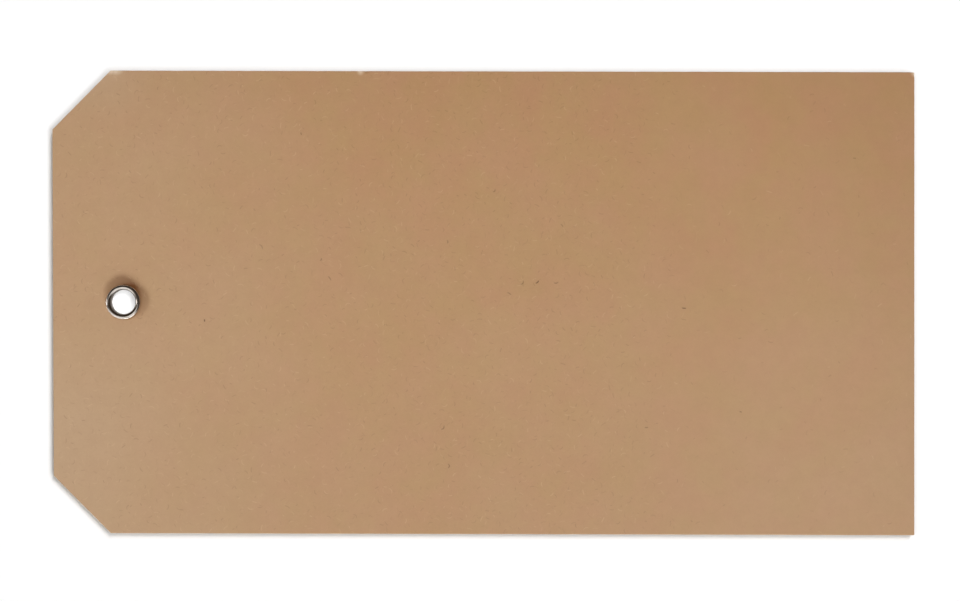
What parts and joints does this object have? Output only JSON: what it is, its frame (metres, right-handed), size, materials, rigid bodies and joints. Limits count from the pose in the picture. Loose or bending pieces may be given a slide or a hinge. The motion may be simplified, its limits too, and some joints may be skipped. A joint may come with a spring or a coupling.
{
  "type": "gift tag",
  "caption": "Blank kraft card gift tag, clipped at the corners of one end, with a rolled metal eyelet there for the string that ties it to a parcel.",
  "frame": {"origin": "under the middle of the card, level with the crest of the eyelet's back roll, which is the lowest point of the tag", "axes": "+X along the card from the clipped end with the eyelet to the square end, +Y across the card, +Z out of the front face"},
  "size_m": [0.12, 0.0644, 0.0014],
  "materials": {
    "kraft_card": "matte",
    "plated_metal": "polished"
  },
  "bodies": {
    "root": {"card": "kraft_card", "eyelet": "plated_metal"}
  },
  "joints": []
}
